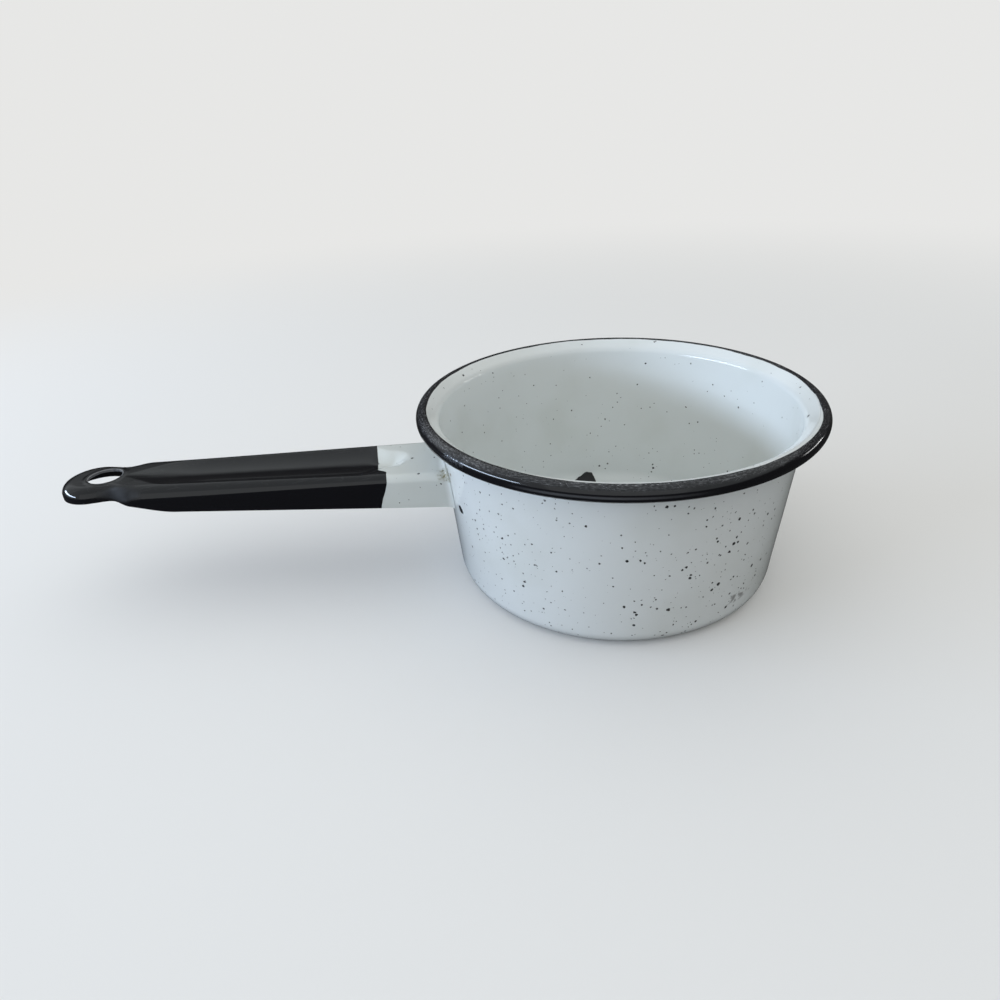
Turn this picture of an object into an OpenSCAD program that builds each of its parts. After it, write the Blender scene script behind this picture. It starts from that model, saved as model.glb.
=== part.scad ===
/* [Pan] */
// Outer diameter across the rim bead
rim_d = 165; // [155:1:190]
// Height from the base to the top of the rim
pan_h = 77; // [66:1:100]
// Outer diameter at the base, where the line of the wall meets it
base_d = 137; // [124:1:146]
// Outer radius of the turn from the base into the wall
corner_r = 8; // [5:0.5:16]
// Thickness of the enamelled sheet
sheet_t = 1.2; // [0.8:0.1:1.5]

/* [Rim] */
// Outer diameter of the rolled bead
bead_d = 6.6; // [5.4:0.1:8]
// Rise of the flared lip above the horizontal, in degrees
lip_angle = 40; // [25:1:55]
// Straight length of the flared lip
lip_l = 3; // [1.5:0.1:5]
// Outer radius of the turn from the wall into the lip
flare_r = 3.4; // [2:0.1:6]
// Place on the bead where the white enamel ends, in degrees above its outer side
white_edge_angle = 112; // [95:1:125]
// Turn of the bead's black part, in degrees
curl_angle = 287; // [230:1:290]

/* [Handle] */
// Length from the pan's wall to the end of the handle
handle_l = 165; // [140:1:200]
// Drop from the top of the rim to the top of the handle
handle_drop = 23.8; // [20:0.2:30]
// Width at the pan's wall
shank_w = 36; // [28:0.5:40]
// Width where the straight part of the handle ends
grip_w = 31.4; // [27:0.2:36]
// Depth at the pan's wall
shank_h = 15.2; // [13:0.2:19]
// Depth where the straight part of the handle ends
grip_h = 10.8; // [8:0.2:13]
// Radius of the rounded shoulders at the pan's wall
shank_r = 3.2; // [2:0.1:5]
// Length over which the side walls run out before the waist
run_out_l = 29; // [16:0.5:40]
// Length of the white end, from the pan's wall to the black enamel
white_l = 27; // [24:0.5:40]

/* [Groove] */
// Width of the pressed groove along the top
groove_w = 17.6; // [12:0.2:19]
// Depth of the groove
groove_d = 3.2; // [1.5:0.1:4.5]
// Distance from the pan's wall to the round end of the groove
groove_inset = 14.5; // [8:0.5:22]
// Length over which the groove narrows towards the hanging hole
pinch_l = 24; // [16:0.5:36]

/* [Hanging eye] */
// Width of the round eye
eye_w = 27; // [24:0.2:30]
// Depth of the eye's rolled edge
eye_h = 6; // [5.4:0.1:8]
// Radius of the rolled edge round the eye
eye_r = 4.6; // [2:0.1:5.2]
// Width of the waist in front of the eye
waist_w = 23.6; // [21:0.2:26]
// Distance from the end of the handle to the waist
waist_inset = 24.4; // [22:0.2:30]
// Length of the taper from the straight part to the waist
waist_l = 9.6; // [7:0.2:20]
// Diameter of the hanging hole
hole_d = 13.6; // [8:0.2:15]
// Distance from the end of the handle to the middle of the hanging hole
hole_inset = 18.4; // [16.5:0.1:19.5]

/* [Weld] */
// Leg of the fillet seam between the handle and the wall
weld_leg = 2.4; // [1.2:0.1:4]

/* [Hidden] */
white = [0.90, 0.92, 0.94];
black = [0.05, 0.05, 0.06];

// Steps in a turn of the whole pan, in a small turn and in the bead
pan_steps = 144;
turn_steps = 8;
bead_steps = 36;
// Clearance of the handle and its weld from the wall that they are seated on
seat = 0.05;
// How far a cut runs past the surface that it opens
overrun = 1;

// Centre of the bead and the radii of its sheet, in the plane of radius and height
bead_r = bead_d / 2;
bead_c = [rim_d / 2 - bead_r, pan_h - bead_r];
curl_r = bead_r - sheet_t;
// Where the lip's underside meets the curl, and the centre of the turn below the lip
lip_top = bead_c + curl_r * dir(lip_angle + 90);
lip_low = lip_top - lip_l * dir(lip_angle);
flare_c = lip_low + flare_r * dir(lip_angle - 90);
// Slope of the wall: its outer line runs from the base's edge and touches the turn below the lip
base_edge = [base_d / 2, 0];
to_flare = flare_c - base_edge;
wall_slope = atan2(to_flare.y, to_flare.x) + asin(flare_r / norm(to_flare));
// Centre of the corner between base and wall
corner_c = [base_d / 2 - corner_r / tan(90 - wall_slope / 2), corner_r];

// Top and end of the handle
handle_top = pan_h - handle_drop;
handle_start = wall_r(handle_top);
eye_at = handle_l - eye_w / 2;
hole_at = handle_l - hole_inset;
waist_at = handle_l - waist_inset;
taper_at = waist_at - waist_l;
run_out_at = waist_at - run_out_l;
groove_end = hole_at - hole_d / 2;
// Stations along the white end and along the black end, as spaces between them
shank_steps = 8;
grip_steps = 34;
// Points across half of the handle's top, and in each rounded shoulder
top_steps = 9;
shoulder_steps = 5;
// Points across the weld's hollow face
weld_steps = 4;
// Width of the groove at its narrow end, as a share of its full width
pinch_share = 0.16;

// A unit step in a direction, a value between two others, and a soft step from 0 to 1
function dir(a) = [cos(a), sin(a)];
function mix(a, b, t) = a + (b - a) * t;
function unit(t) = min(1, max(0, t));
function ease(t) = let (c = unit(t)) c * c * (3 - 2 * c);
function reversed(list) = [for (i = [len(list) - 1:-1:0]) list[i]];
function arc(c, r, a, b, steps) = [for (i = [0:steps]) c + r * dir(mix(a, b, i / steps))];

// Outer radius of the wall at a height
function wall_r(z) = base_d / 2 + z / tan(wall_slope);

// Half width, depth and groove of the handle at a distance from the wall
function half_w(s) =
    s < taper_at ? mix(shank_w, grip_w, s / taper_at) / 2
    : s < waist_at ? mix(grip_w, waist_w, ease((s - taper_at) / waist_l)) / 2
    : mix(waist_w, eye_w, ease((s - waist_at) / (eye_at - waist_at))) / 2;
function depth(s) =
    s < run_out_at ? mix(shank_h, grip_h, s / run_out_at)
    : mix(grip_h, eye_h, ease((s - run_out_at) / run_out_l));
function pinch(s) = ease((groove_end - s) / pinch_l);
function groove_half(s) = groove_w / 2 * mix(pinch_share, 1, pinch(s));
function groove_drop(s, v) =
    let (
        before = max(0, groove_inset + groove_w / 2 - s),
        away = unit(norm([before, v]) / groove_half(s))
    )
    groove_d * pinch(s) * pow(cos(90 * away), 2);

// Outline of the sheet across the handle, from one lower edge over the top to the other.
// Each point is [side, height], and inset moves the whole outline inwards by that much.
function across(s, inset) =
    let (
        shoulder = mix(shank_r, eye_r, unit(s / waist_at)),
        flat = half_w(s) - shoulder,
        r = shoulder - inset
    )
    concat(
        [[-flat - r, -depth(s)]],
        [for (i = [0:shoulder_steps - 1]) [-flat, -shoulder] + r * dir(180 - 90 * i / shoulder_steps)],
        [for (i = [-top_steps:top_steps])
            let (v = flat * i / top_steps) [v, -inset - groove_drop(s, v)]],
        [for (i = [shoulder_steps - 1:-1:0]) [flat, -shoulder] + r * dir(90 * i / shoulder_steps)],
        [[flat + r, -depth(s)]]
    );
// The same outline as a closed loop with the sheet's thickness
function sheet_loop(s) = concat(across(s, 0), reversed(across(s, sheet_t)));
loop_points = len(sheet_loop(0));

// Point on the wall at a side place and height, just clear of it
function on_wall(side, z) = [-sqrt(pow(wall_r(z) + seat, 2) - side * side), side, z];
// Point of the handle between the wall and a distance from it
function between(p, s, t) =
    let (foot = on_wall(p.x, handle_top + p.y))
    [mix(foot.x, -(handle_start + s), t), p.x, handle_top + p.y];

// Triangles that close a ring: strips between its two halves, or a fan from its first point
function strip_cap(n) = [
    for (i = [0:n / 2 - 2])
        each [[i, n - 2 - i, n - 1 - i], [i, i + 1, n - 2 - i]]
];
function fan_cap(n) = [for (i = [1:n - 2]) [0, i, i + 1]];
// Solid through rings of equal length, closed at both ends by the given triangles
module loft(rings, cap) {
    n = len(rings[0]);
    last = (len(rings) - 1) * n;
    sides = [
        for (j = [0:len(rings) - 2], i = [0:n - 1])
            let (a = j * n + i, b = j * n + (i + 1) % n)
            each [[a, b + n, b], [a, a + n, b + n]]
    ];
    end = [for (f = cap) [last + f[0], last + f[2], last + f[1]]];
    polyhedron(points = [for (ring = rings) each ring], faces = concat(sides, cap, end));
}

// Drawn bowl: flat base, corner, tapered wall, flared lip and the white start of the bead
module pan_body() {
    under = concat(
        [[0, 0]],
        arc(corner_c, corner_r, -90, wall_slope - 90, turn_steps),
        arc(flare_c, flare_r, wall_slope + 90, lip_angle + 90, turn_steps),
        arc(bead_c, curl_r, lip_angle + 90, white_edge_angle, turn_steps)
    );
    over = concat(
        [[0, sheet_t]],
        arc(corner_c, corner_r - sheet_t, -90, wall_slope - 90, turn_steps),
        arc(flare_c, flare_r + sheet_t, wall_slope + 90, lip_angle + 90, turn_steps),
        arc(bead_c, bead_r, lip_angle + 90, white_edge_angle, turn_steps)
    );
    color(white)
        rotate_extrude($fn = pan_steps)
            polygon(concat(under, reversed(over)));
}

// Rolled edge of the sheet, hollow, with its open seam under the lip
module rim_bead() {
    color(black)
        rotate_extrude($fn = pan_steps)
            polygon(concat(
                arc(bead_c, curl_r, white_edge_angle, white_edge_angle - curl_angle, bead_steps),
                arc(bead_c, bead_r, white_edge_angle - curl_angle, white_edge_angle, bead_steps)
            ));
}

// White end of the pressed channel, cut to the round wall
module handle_shank() {
    color(white)
        loft([
            for (j = [0:shank_steps])
                let (t = j / shank_steps)
                [for (p = sheet_loop(white_l * t)) between(p, white_l, t)]
        ], strip_cap(loop_points));
}

// Black end of the channel, with the groove, the waist and the round hanging eye
module handle_grip() {
    half = [for (p = sheet_loop(eye_at)) if (p.x >= 0) [p.x, handle_top + p.y]];
    color(black)
        difference() {
            union() {
                loft([
                    for (j = [0:grip_steps])
                        let (s = mix(white_l, eye_at, j / grip_steps))
                        [for (p = sheet_loop(s)) [-(handle_start + s), p.x, handle_top + p.y]]
                ], strip_cap(loop_points));
                translate([-(handle_start + eye_at), 0, 0])
                    rotate([0, 0, 90])
                        rotate_extrude(angle = 180, $fn = pan_steps)
                            polygon(half);
            }
            translate([-(handle_start + hole_at), 0, handle_top - sheet_t - overrun])
                cylinder(d = hole_d, h = sheet_t + 2 * overrun, $fn = pan_steps);
        }
}

// Fillet seam round the handle's end, with a hollow face
module handle_weld() {
    path = across(0, 0);
    // The outline moved outwards gives the seam's clearance and its foot on the wall
    near = across(0, -seat);
    far = across(0, -seat - weld_leg);
    n = weld_steps + 2;
    rings = [
        for (i = [0:len(path) - 1])
            let (
                corner = on_wall(near[i].x, handle_top + near[i].y),
                foot = on_wall(far[i].x, handle_top + far[i].y),
                heel = corner - [weld_leg, 0, 0]
            )
            concat([corner], [
                for (k = [0:weld_steps])
                    let (t = k / weld_steps)
                    pow(1 - t, 2) * heel + 2 * t * (1 - t) * corner + t * t * foot
            ])
    ];
    color(white)
        loft(rings, fan_cap(n));
}

pan_body();
rim_bead();
handle_shank();
handle_grip();
handle_weld();
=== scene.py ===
"""Small enamelled saucepan: the looks of its bowl, rolled rim, pressed handle and weld.

Every length is in metres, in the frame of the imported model: the base is centred on the origin,
+Z is up through the open top and the handle points along -X.
"""

import math

import bmesh
import bpy
from bpy.props import FloatProperty, FloatVectorProperty, PointerProperty
from mathutils import Matrix, Vector, noise


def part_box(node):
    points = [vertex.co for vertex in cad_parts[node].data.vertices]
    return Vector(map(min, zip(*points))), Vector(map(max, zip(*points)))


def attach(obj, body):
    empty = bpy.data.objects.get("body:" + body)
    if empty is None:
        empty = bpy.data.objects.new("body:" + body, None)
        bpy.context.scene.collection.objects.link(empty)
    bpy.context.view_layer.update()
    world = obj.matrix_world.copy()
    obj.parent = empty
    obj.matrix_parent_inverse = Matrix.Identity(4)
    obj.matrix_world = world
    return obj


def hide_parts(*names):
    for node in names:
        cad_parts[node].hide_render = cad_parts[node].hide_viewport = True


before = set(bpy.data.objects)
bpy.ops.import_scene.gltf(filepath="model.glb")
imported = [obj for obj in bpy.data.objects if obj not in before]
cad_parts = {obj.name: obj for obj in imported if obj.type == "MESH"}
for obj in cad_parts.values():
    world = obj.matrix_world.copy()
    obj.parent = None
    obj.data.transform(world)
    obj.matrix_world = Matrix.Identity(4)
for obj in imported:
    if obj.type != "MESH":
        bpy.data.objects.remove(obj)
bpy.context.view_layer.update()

bl_info = {
    "name": "Enamelled saucepan",
    "version": (1, 0, 0),
    "blender": (4, 5, 0),
    "location": "3D View > Sidebar > Saucepan",
    "description": "Builds a small enamelled saucepan and its stage round the packed frame",
    "category": "Add Mesh",
}

MM = 0.001
BEAD_LOW, BEAD_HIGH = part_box("rim_bead")
GRIP_LOW, GRIP_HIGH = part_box("handle_grip")

# Steps of the turned and pressed surfaces
PAN_STEPS = 288
TURN_STEPS = 10
WALL_CUTS = 30
BASE_CUTS = 12
BEAD_STEPS = 72
HANDLE_ROWS = 180
TOP_COLUMNS = 20
SHOULDER_COLUMNS = 8
SIDE_COLUMNS = 8
NOSE_STEPS = 48
HOLE_RINGS = 6
WELD_STEPS = 8
EDGE_STEPS = 3
SAME_PLACE = 0.001 * MM

# Small allowances, angles and shares of the mesh work
CLEAR_OF_WALL = 0.05 * MM
SMOOTH_ANGLE = math.radians(38)
CUT_EDGE_ANGLE = 1.0
RIPPLE_SIZE = 34 * MM
WELD_RIPPLE_SIZE = 7 * MM
WELD_LEG_SHARE, WELD_UNEVEN_SHARE = 1.15, 0.3
PINCH_SHARE, PINCH_DEPTH_SHARE = 0.16, 1.6
EYE_START_SHARE = 0.885

# Marks of wear in millimetres: the middle, the reach along each axis, how ragged the outline is, the size
# of its grain, and how soft its edge is as a share of the reach
MARKS = {
    "corner chip": ((-65.9, -29.0, 42.7), (2.2, 2.2, 1.7), 0.5, 1.6, 0.12),
    "corner ring": ((-65.9, -29.0, 42.7), (3.6, 3.6, 2.8), 0.3, 2.0, 0.12),
    "rust": ((-69.2, -23.7, 56.0), (0.8, 0.8, 0.7), 0.5, 1.2, 0.12),
    "scuff": ((39.0, -57.5, 13.5), (6.0, 6.0, 2.2), 0.6, 3.0, 0.4),
    "tarnish": ((-71.3, -18.0, 53.4), (3.4, 4.4, 3.0), 0.7, 1.5, 0.5),
    # Near left of the bead's top: real wear, and where painted sheen is lightest
    "worn and sheened rim": ((-70.0, -44.0, 75.0), (24.0, 24.0, 9.0), 0.3, 20.0, 0.5),
    # Painted reflection band on the middle of the bead's near side
    "near side sheen": ((-20.0, -79.0, 73.0), (26.0, 12.0, 9.0), 0.3, 20.0, 0.6),
    "crest wear": ((-8.0, -80.0, 75.6), (16.0, 5.0, 3.0), 0.4, 4.0, 0.5),
    "dulled side": ((-66.0, -50.0, 74.6), (6.0, 6.0, 3.0), 0.3, 2.0, 0.12),
    "rubbed waist": ((-208.5, -13.0, 50.7), (9.0, 4.5, 3.0), 0.2, 3.0, 0.5),
}

# Large pits in millimetres: the middle and the size
PITS = (
    (4.6, -73.7, 64.8, 0.8),
    (7.3, -73.5, 64.9, 0.6),
    (33.0, -64.2, 45.0, 0.7),
    (33.9, -63.5, 42.4, 0.7),
    (-7.3, -71.6, 42.8, 0.8),
    (-1.1, -71.9, 41.7, 0.6),
    (25.1, -67.8, 46.0, 0.7),
)

# The chip inside the far corner ends at these lines, each with the x and z parts of its normal and its
# distance, and on its hidden side at a curve, with its place and its bend
INNER_CHIP_LINES = (
    (-0.447, 0.894, 6.3 * MM),
    (0.225, 0.974, 5.7 * MM),
    (0.819, 0.573, 3.95 * MM),
    (0.954, 0.298, 3.25 * MM),
)
INNER_CHIP_X, INNER_CHIP_Y, INNER_CHIP_BEND = -2.5 * MM, 60 * MM, 7.5 * MM

# Enamel: its refraction, and the size and height of its slow waves and of its orange peel
ENAMEL_IOR = 1.47
WHITE_WAVE, WHITE_WAVE_H = 14 * MM, 0.05 * MM
WHITE_PEEL, WHITE_PEEL_H = 2.4 * MM, 0.004 * MM
BLACK_WAVE, BLACK_WAVE_H = 11 * MM, 0.06 * MM
BLACK_PEEL, BLACK_PEEL_H = 2.0 * MM, 0.003 * MM

# How far the second enamel stands over the first, and the depths of the wear
BEAD_STEP_H, DIP_STEP_H = 0.09 * MM, 0.12 * MM
PIT_D, CHIP_D, CHIP_RING_H = 0.05 * MM, 0.15 * MM, 0.05 * MM
RUST_D, SCRATCH_D, FLECK_D = 0.04 * MM, 0.006 * MM, 0.02 * MM

# Line between white and black on the rim: its wobble and softness, and how much wider the white is in front
# and on the right
RIM_WOBBLE_SIZE, RIM_WOBBLE, RIM_LINE_SOFT = 16 * MM, 1.1 * MM, 0.08 * MM
WIDER_IN_FRONT, WIDER_ON_RIGHT = 1.1 * MM, 0.6 * MM

# Specks: spacing, smallest and largest radius, share of the amount, greyness of the palest and seed
SPECK_SORTS = (
    (4.6 * MM, 0.26 * MM, 0.80 * MM, 1.1, 0.045, 0.0),
    (2.0 * MM, 0.14 * MM, 0.42 * MM, 1.5, 0.09, 0.1),
)

# Scratches: heading, length, breadth, rarity and seed
BEAD_SCRATCHES = (
    (0.03, 7 * MM, 0.15 * MM, 0.66, 1.0),
    (0.5, 4 * MM, 0.13 * MM, 0.70, 2.0),
    (-0.9, 3 * MM, 0.12 * MM, 0.71, 3.0),
)
HANDLE_SCRATCHES = (
    (0.12, 16 * MM, 0.16 * MM, 0.67, 4.0),
    (-0.7, 5 * MM, 0.14 * MM, 0.70, 5.0),
)

# Where the black enamel of the handle starts, how its line leans, how much further it reaches on the near
# side wall and how far it draws back low down
DIP_X = -101.7 * MM
DIP_LEAN = -0.15
DIP_NEAR_STEP, DIP_LOW_STEP = 3.3 * MM, 4.2 * MM

# Stage: the floor and where it fades, how far the mirrored dome starts higher behind and on the right, where
# it and the plain light grow with height, and each lamp's way round, height, distance, width and height of
# its sheet, power and tint
FLOOR_R = 6.0
FLOOR_STEPS = 96
FLOOR_DROP = 0.1 * MM
FADE_FROM, FADE_TO = 0.35, 1.1
DOME_BEHIND, DOME_RIGHT = 0.45, 0.25
DOME_FROM, DOME_TO = 0.05, 0.30
LIGHT_FROM, LIGHT_TO = 0.3, 0.8
LAMPS = (
    ("key", 188, 12, 1.5, 1.35, 0.15, 16.5, (0.64, 0.78, 1.0)),
    ("fill", 262, 22, 2.4, 3.2, 2.0, 6.0, (1.0, 1.0, 1.0)),
    ("edge", 14, 8, 1.5, 0.5, 0.05, 1.0, (1.0, 1.0, 1.0)),
)


# Sizes and finishes that a user would change


def length(name, about, default):
    return FloatProperty(name=name, description=about, default=default, unit="LENGTH", precision=5)


def angle(name, about, default):
    return FloatProperty(name=name, description=about, default=math.radians(default), subtype="ANGLE")


def colour(name, about, default):
    return FloatVectorProperty(
        name=name, description=about, default=default, size=3, min=0, max=1, subtype="COLOR")


def share(name, about, default):
    return FloatProperty(name=name, description=about, default=default, min=0, max=1, subtype="FACTOR")


class BowlSizes(bpy.types.PropertyGroup):
    rim_d: length("Rim", "Outer diameter across the rim bead", BEAD_HIGH.x - BEAD_LOW.x)
    pan_h: length("Height", "Height from the base to the top of the rim", BEAD_HIGH.z)
    base_d: length("Base", "Outer diameter at the base", 137 * MM)
    corner_r: length("Corner", "Outer radius of the turn from base into wall", 8 * MM)
    sheet_t: length("Sheet", "Thickness of the enamelled sheet", 1.2 * MM)
    bead_d: length("Bead", "Outer diameter of the rolled bead", 6.6 * MM)
    lip_angle: angle("Lip rise", "Rise of the flared lip above the horizontal", 40)
    lip_l: length("Lip", "Straight length of the flared lip", 3 * MM)
    flare_r: length("Flare", "Outer radius of the turn from wall into lip", 3.4 * MM)
    white_edge_angle: angle(
        "White edge", "Where the white enamel ends on the bead, above its outer side", 112)
    curl_angle: angle("Curl", "Turn of the bead's black part", 287)
    ripple: length("Ripple", "Unevenness of the drawn sheet", 0.14 * MM)


class HandleSizes(bpy.types.PropertyGroup):
    shank_w: length("Width at the wall", "Width at the pan's wall", 36 * MM)
    grip_w: length("Width", "Width where the straight part ends", 31.4 * MM)
    shank_h: length("Depth at the wall", "Depth at the pan's wall", 15.2 * MM)
    grip_h: length("Depth", "Depth where the straight part ends", 10.8 * MM)
    shank_r: length("Shoulder at the wall", "Radius of the shoulders at the wall", 3.2 * MM)
    run_out_l: length("Run-out", "Length over which the side walls run out", 29 * MM)
    groove_w: length("Groove width", "Width of the pressed groove", 17.6 * MM)
    groove_d: length("Groove depth", "Depth of the pressed groove", 3.2 * MM)
    valley_d: length("Valley depth", "Depth of the groove where it spreads over the width", 2.9 * MM)
    valley_end_d: length("Valley end", "Depth of the spread groove before its pinch", 1.6 * MM)
    valley_l: length("Valley start", "Length over which the groove spreads to the shoulders", 12 * MM)
    groove_inset: length("Groove start", "Distance from the wall to the groove's round end", 14.5 * MM)
    pinch_l: length("Pinch", "Length over which the groove narrows", 24 * MM)
    eye_w: length("Eye width", "Width of the round hanging eye", 27 * MM)
    eye_h: length("Eye depth", "Depth of the eye's rolled edge", 6 * MM)
    eye_r: length("Eye shoulder", "Radius of the rolled edge round the eye", 4.6 * MM)
    waist_r: length("Shoulder", "Radius of the shoulders where the straight part ends", 5.2 * MM)
    waist_w: length("Waist", "Width of the waist in front of the eye", 23.6 * MM)
    waist_inset: length("Waist place", "Distance from the handle's end to the waist", 24.4 * MM)
    waist_l: length("Waist taper", "Length of the taper into the waist", 9.6 * MM)
    hole_d: length("Hole", "Diameter of the hanging hole", 13.6 * MM)
    hole_inset: length("Hole place", "Distance from the handle's end to the hole's middle", 18.4 * MM)
    edge_r: length("Edge", "Rounding that the enamel gives the cut edges", 0.45 * MM)
    hole_lip_h: length("Hole lip", "Height of the raised lip round the hole", 0.3 * MM)
    hole_lip_w: length("Hole lip width", "Width of the raised lip round the hole", 1.8 * MM)
    weld_leg: length("Weld", "Leg of the fillet seam on the wall and the handle", 2.4 * MM)


class Finish(bpy.types.PropertyGroup):
    white: colour("White", "White enamel", (0.71, 0.745, 0.74))
    # The stain colour is also what painted shade greys the white towards on the handle and weld
    stain: colour("Stain", "Thin or stained white enamel", (0.58, 0.61, 0.57))
    black: colour("Black", "Black enamel", (0.0065, 0.0065, 0.008))
    steel: colour("Steel", "Bare scratched steel", (0.42, 0.43, 0.45))
    chip: colour("Chip", "Bare dark iron in a chip", (0.012, 0.011, 0.012))
    rust: colour("Rust", "Rust at a pinhole", (0.10, 0.045, 0.02))
    # The scuff colour is also painted as sheen on the bead's top and as a reflection band on its near side
    scuff: colour("Scuff", "Scuffed black enamel", (0.20, 0.205, 0.215))
    worn_white: colour("Worn white", "Scuffed white enamel", (0.07, 0.062, 0.055))
    tarnish: colour("Tarnish", "Olive stain beside the handle", (0.20, 0.185, 0.10))
    gloss: share("Gloss", "Roughness of clean enamel", 0.11)


class Studio(bpy.types.PropertyGroup):
    azimuth: angle("Azimuth", "Way that the camera looks, turned from +Y", -10.5)
    elevation: angle("Elevation", "Height of the camera above the rim, as seen from it", 21.36)
    distance: length("Distance", "From the middle of the rim to the camera", 289.6 * MM)
    tip: angle("Tip", "Camera tipped up from the rim's middle", -8.48)
    turn: angle("Turn", "Camera turned left from the rim's middle", 9.32)
    roll: angle("Roll", "Camera rolled", 1.73)
    lens: FloatProperty(
        name="Lens", description="Focal length on a 36 mm sensor", default=24.48, unit="CAMERA")
    backdrop: colour("Backdrop", "Floor and backdrop", (0.80, 0.80, 0.79))
    shade: colour("Surroundings", "What the enamel mirrors near the horizon", (0.04, 0.04, 0.04))
    dome: colour("Dome", "What the enamel mirrors overhead", (0.57, 0.61, 0.62))
    low_light: colour("Low light", "Plain light from the sides", (0.33, 0.33, 0.33))
    high_light: colour("High light", "Plain light from above", (0.98, 0.99, 0.98))
    floor_bounce: colour("Floor bounce", "Light that the floor throws back on the pan", (0.45, 0.45, 0.45))


def settings():
    scene = bpy.context.scene
    return scene.saucepan_bowl, scene.saucepan_handle, scene.saucepan_finish


# Small sums


def mix(a, b, t):
    return a + (b - a) * t


def unit(t):
    return min(1.0, max(0.0, t))


def ease(t):
    t = unit(t)
    return t * t * (3 - 2 * t)


def out(a, reach=1.0):
    """A step in the plane of radius and height, at an angle above the outward direction"""
    return Vector((math.cos(a) * reach, 0, math.sin(a) * reach))


class PanLines:
    """Centres and corners of the bowl's section, worked out from its sizes"""

    def __init__(self, bowl):
        self.bowl = bowl
        self.bead_r = bowl.bead_d / 2
        self.curl_r = self.bead_r - bowl.sheet_t
        self.bead_c = Vector((bowl.rim_d / 2 - self.bead_r, 0, bowl.pan_h - self.bead_r))
        self.lip_top = self.bead_c + out(bowl.lip_angle + math.pi / 2, self.curl_r)
        lip_low = self.lip_top - out(bowl.lip_angle, bowl.lip_l)
        self.flare_c = lip_low + out(bowl.lip_angle - math.pi / 2, bowl.flare_r)
        to_flare = self.flare_c - Vector((bowl.base_d / 2, 0, 0))
        self.slope = math.atan2(to_flare.z, to_flare.x) + math.asin(bowl.flare_r / to_flare.length)
        corner_x = bowl.base_d / 2 - bowl.corner_r / math.tan(math.pi / 2 - self.slope / 2)
        self.corner_c = Vector((corner_x, 0, bowl.corner_r))

    def wall_r(self, z):
        return self.bowl.base_d / 2 + z / math.tan(self.slope)

    def on_wall(self, side, z, clear=CLEAR_OF_WALL):
        return Vector((-math.sqrt((self.wall_r(z) + clear) ** 2 - side * side), side, z))


class HandleLines:
    """Sections of the pressed handle at any distance s from the pan's wall"""

    def __init__(self, bowl, handle):
        self.h = handle
        self.pan = PanLines(bowl)
        self.top = GRIP_HIGH.z
        self.start = self.pan.wall_r(self.top)
        self.end = -GRIP_LOW.x - self.start
        self.white_l = -GRIP_HIGH.x - self.start
        self.eye_at = self.end - handle.eye_w / 2
        self.hole_at = self.end - handle.hole_inset
        self.waist_at = self.end - handle.waist_inset
        self.taper_at = self.waist_at - handle.waist_l
        self.run_out_at = self.waist_at - handle.run_out_l
        self.groove_end = self.hole_at - handle.hole_d / 2

    def half_width(self, s):
        h = self.h
        if s < self.taper_at:
            return mix(h.shank_w, h.grip_w, s / self.taper_at) / 2
        if s < self.waist_at:
            return mix(h.grip_w, h.waist_w, ease((s - self.taper_at) / h.waist_l)) / 2
        return mix(h.waist_w, h.eye_w, ease((s - self.waist_at) / (self.eye_at - self.waist_at))) / 2

    def depth(self, s):
        h = self.h
        if s < self.run_out_at:
            return mix(h.shank_h, h.grip_h, s / self.run_out_at)
        return mix(h.grip_h, h.eye_h, ease((s - self.run_out_at) / h.run_out_l))

    def shoulder(self, s):
        h = self.h
        if s < self.taper_at:
            return mix(h.shank_r, h.waist_r, ease(s / self.taper_at))
        return mix(h.waist_r, h.eye_r, ease((s - self.taper_at) / h.waist_l))

    def groove(self, s, side):
        """Depth of the pressed groove at a place on the top"""
        h = self.h
        before = h.groove_inset + h.groove_w / 2 - s
        to_end = (self.groove_end - s) / h.pinch_l
        spread = ease(-before / h.valley_l)
        flat = self.half_width(s) - self.shoulder(s)
        half = mix(h.groove_w / 2, flat, spread) * mix(PINCH_SHARE, 1, ease(to_end))
        away = unit(math.hypot(max(0.0, before), side) / half)
        round_d = h.groove_d * math.cos(math.pi / 2 * away) ** 2
        wide_d = mix(h.valley_d, h.valley_end_d, s / self.groove_end) * (1 - away * away)
        return mix(round_d, wide_d, spread) * ease(to_end / PINCH_DEPTH_SHARE)

    def across(self, s, column, swell=0.0):
        """Side place and height on the outline, moved out by swell

        The columns count from the outline's middle, 0, to each lower edge.
        """
        r = self.shoulder(s)
        flat = self.half_width(s) - r
        along = abs(column)
        if along <= TOP_COLUMNS:
            side, height = flat * along / TOP_COLUMNS, swell
        elif along <= TOP_COLUMNS + SHOULDER_COLUMNS:
            turned = math.pi / 2 * (along - TOP_COLUMNS) / SHOULDER_COLUMNS
            side = flat + (r + swell) * math.sin(turned)
            height = (r + swell) * math.cos(turned) - r
        else:
            down = (along - TOP_COLUMNS - SHOULDER_COLUMNS) / SIDE_COLUMNS
            side, height = flat + r + swell, mix(-r, -self.depth(s), down)
        return math.copysign(side, column), self.top + height

    def point(self, s, column):
        side, height = self.across(s, column)
        x = -(self.start + s)
        if s < self.white_l:
            x = mix(self.pan.on_wall(side, height).x, -(self.start + self.white_l), s / self.white_l)
        return Vector((x, side, height))


# Mesh work


def line_to(bm, vert, end):
    made = bmesh.ops.extrude_vert_indiv(bm, verts=[vert])["verts"][0]
    made.co = end
    return made


def turn_to(bm, vert, centre, by, steps):
    """Draws an arc in the plane of radius and height, anticlockwise where by is above zero"""
    made = bmesh.ops.spin(bm, geom=[vert], cent=centre, axis=(0, -1, 0), angle=by, steps=steps)
    return next(g for g in made["geom_last"] if isinstance(g, bmesh.types.BMVert))


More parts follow.
